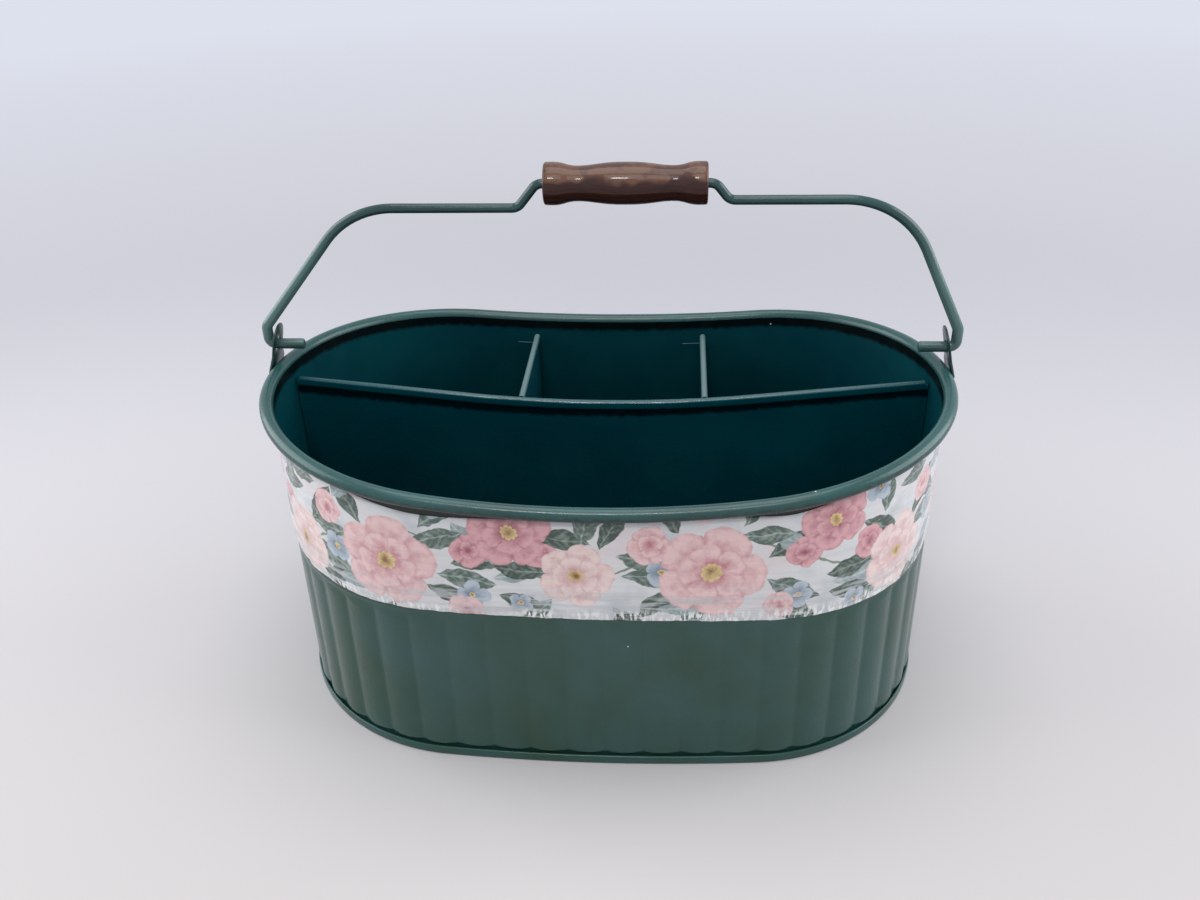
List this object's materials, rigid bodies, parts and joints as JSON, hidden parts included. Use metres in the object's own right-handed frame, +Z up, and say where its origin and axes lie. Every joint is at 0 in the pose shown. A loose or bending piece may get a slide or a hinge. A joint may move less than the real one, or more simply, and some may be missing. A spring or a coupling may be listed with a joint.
{
  "type": "divided basket",
  "caption": "Oval sheet-metal caddy with a saddle-shaped rolled rim, upright dividers, a fluted lower wall and a swinging bail with a turned grip.",
  "frame": {"origin": "middle of the foot ring, on the surface that the basket stands on", "axes": "+X along the basket to the right, +Y from the front compartment towards the rear ones, +Z up; the bail stands upright at rest"},
  "size_m": [0.3398, 0.202, 0.2589],
  "materials": {
    "enamelled_wall": "gloss dark green enamel",
    "steel_wire": "bright drawn wire",
    "enamelled_foot": "gloss dark green enamel",
    "enamelled_divider": "gloss dark green enamel",
    "enamelled_ear": "gloss dark green enamel",
    "printed_film": null,
    "enamelled_bail": "gloss dark green enamel",
    "varnished_wood": "dark brown varnish"
  },
  "bodies": {
    "body": {"body_wall": "enamelled_wall", "rim_wire": "steel_wire", "base_plate": "enamelled_foot", "long_divider": "enamelled_divider", "cross_divider_left": "enamelled_divider", "cross_divider_right": "enamelled_divider", "ear_left": "enamelled_ear", "ear_right": "enamelled_ear", "floral_band": "printed_film"},
    "bail": {"bail_wire": "enamelled_bail"},
    "grip": {"wooden_grip": "varnished_wood"}
  },
  "joints": [
    {"name": "bail_swing", "type": "hinge", "parent": "body", "child": "bail", "pos_m": [0, 0.015, 0.1687], "axis": [1, 0, 0], "range_deg": [-96.4, 100]},
    {"name": "grip_spin", "type": "hinge", "parent": "bail", "child": "grip", "pos_m": [0.0106, 0.015, 0.2492], "axis": [1, 0, 0], "continuous": true}
  ]
}
